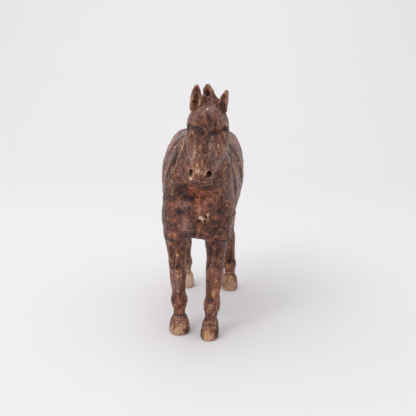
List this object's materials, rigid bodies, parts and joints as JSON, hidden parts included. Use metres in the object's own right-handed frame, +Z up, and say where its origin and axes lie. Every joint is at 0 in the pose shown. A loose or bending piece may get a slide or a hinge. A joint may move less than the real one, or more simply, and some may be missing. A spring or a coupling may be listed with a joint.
{
  "type": "carved wooden horse",
  "caption": "Standing carved wooden horse with a built-up body: separate neck and head, legs, ears, mane and tail, free-standing on its hooves.",
  "frame": {"origin": "on the ground under the middle of the object's box", "axes": "+Z up, the horse faces -Y, its left side is +X"},
  "size_m": [0.107, 0.3087, 0.3],
  "materials": {
    "stained_wood": "dark brown stain and wax, worn to paler wood on the edges, satin",
    "head_wood": "brown stain, weathered and slightly greyed, matte",
    "mane_wood": "dark stain greyed by dust, matte",
    "leg_wood": "brown stain worn through to tan wood on the hooves, satin",
    "bare_wood": "bare pale wood where the plug has broken",
    "dowel_wood": "bare wood, unstained"
  },
  "bodies": {
    "root": {"trunk": "stained_wood", "neck_and_head": "head_wood", "neck_dowel": "dowel_wood", "mane": "mane_wood", "ear_left": "head_wood", "ear_right": "head_wood", "chest_plug": "bare_wood", "foreleg_left": "leg_wood", "foreleg_right": "leg_wood", "hindleg_left": "leg_wood", "hindleg_right": "leg_wood", "tail": "mane_wood"}
  },
  "joints": []
}
